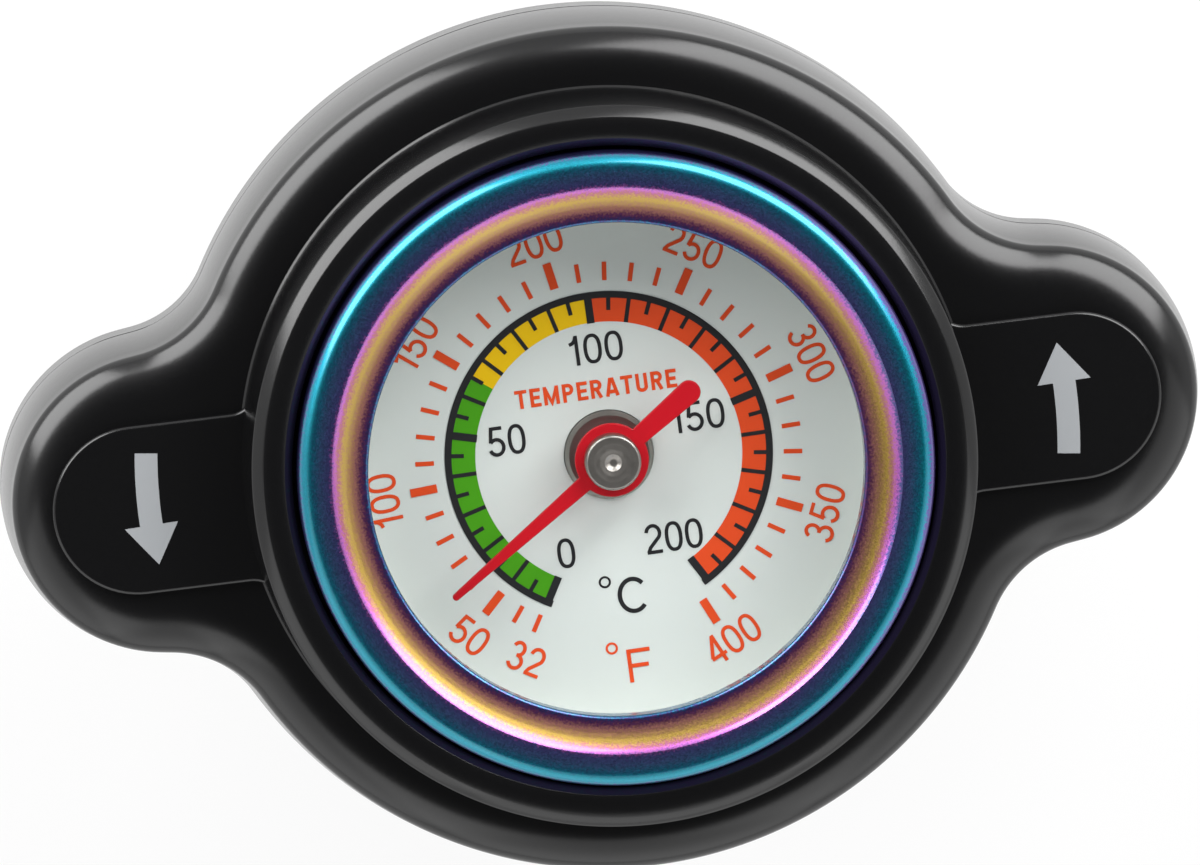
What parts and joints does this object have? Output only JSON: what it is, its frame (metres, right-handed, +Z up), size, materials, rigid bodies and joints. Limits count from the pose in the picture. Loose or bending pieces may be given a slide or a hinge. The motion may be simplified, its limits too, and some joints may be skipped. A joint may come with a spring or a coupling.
{
  "type": "radiator cap thermometer",
  "caption": "Two-eared black radiator pressure cap with a round dial thermometer in its crown, bayonet lugs, sprung pressure and vacuum valves and a probe stem below.",
  "frame": {"origin": "on the cap's axis, at the flat end of the probe nut that the cap stands on", "axes": "+Z up the cap's axis to the dial, +X to the right ear, +Y to twelve o'clock on the dial"},
  "size_m": [0.0584, 0.042, 0.0334],
  "materials": {
    "gloss_black": "die-cast, gloss black paint with a fine speckle",
    "rainbow_metal": "polished metal with a heat-tinted rainbow film in rings",
    "glass": "clear flat glass",
    "dial_white": "white enamel with printed scales",
    "pointer_red": "red enamel",
    "turned_steel": "turned, faint rings",
    "pressed_steel": "pressed sheet, bright zinc",
    "spring_steel": "drawn wire",
    "brass": "turned brass",
    "bimetal": "rolled strip",
    "black_rubber": "moulded rubber, matt",
    "spacer_plastic": "moulded, matt",
    "dark_screw": "blackened steel"
  },
  "bodies": {
    "cap": {"cover": "gloss_black", "base_plate": "gloss_black", "base_screws": "dark_screw", "gauge_case": "pressed_steel", "bezel": "rainbow_metal", "lens": "glass", "lens_gasket": "black_rubber", "spacer_ring": "spacer_plastic", "dial_plate": "dial_white", "case_gasket": "black_rubber", "spindle_bush": "turned_steel", "probe_stem": "turned_steel", "bimetal_coil": "bimetal", "coil_anchor": "turned_steel", "locking_shell": "pressed_steel", "diaphragm": "spring_steel", "neck_gasket": "black_rubber", "lock_washer": "spring_steel", "lock_nut": "brass", "cage_clip": "spring_steel", "probe_nut": "brass", "vacuum_spring": "spring_steel"},
    "pointer_group": {"pointer": "pointer_red", "pointer_boss": "turned_steel", "spindle": "turned_steel", "coil_hub": "turned_steel"},
    "cage": {"spring_cage": "pressed_steel", "main_spring": "spring_steel"},
    "pressure_valve": {"valve_plate": "pressed_steel", "main_seal": "black_rubber", "seal_eyelet": "brass"},
    "vacuum_valve": {"vacuum_disc": "brass"}
  },
  "joints": [
    {"name": "pointer_turn", "type": "hinge", "parent": "cap", "child": "pointer_group", "pos_m": [0, 0, 0.0291], "axis": [0, 0, 1], "range_deg": [-273.6, 26.4], "stiffness_Nm_per_rad": 0.00002},
    {"name": "cage_swivel", "type": "hinge", "parent": "cap", "child": "cage", "pos_m": [0, 0, 0.0202], "axis": [0, 0, 1], "continuous": true},
    {"name": "relief_lift", "type": "slide", "parent": "cage", "child": "pressure_valve", "axis": [0, 0, 1], "range_m": [0, 0.0022], "stiffness_N_per_m": 6000, "springref_m": -0.0105, "deforming": ["main_spring", "vacuum_spring"]},
    {"name": "vacuum_drop", "type": "slide", "parent": "pressure_valve", "child": "vacuum_valve", "axis": [0, 0, -1], "range_m": [0, 0.0012], "stiffness_N_per_m": 150, "springref_m": -0.002}
  ]
}
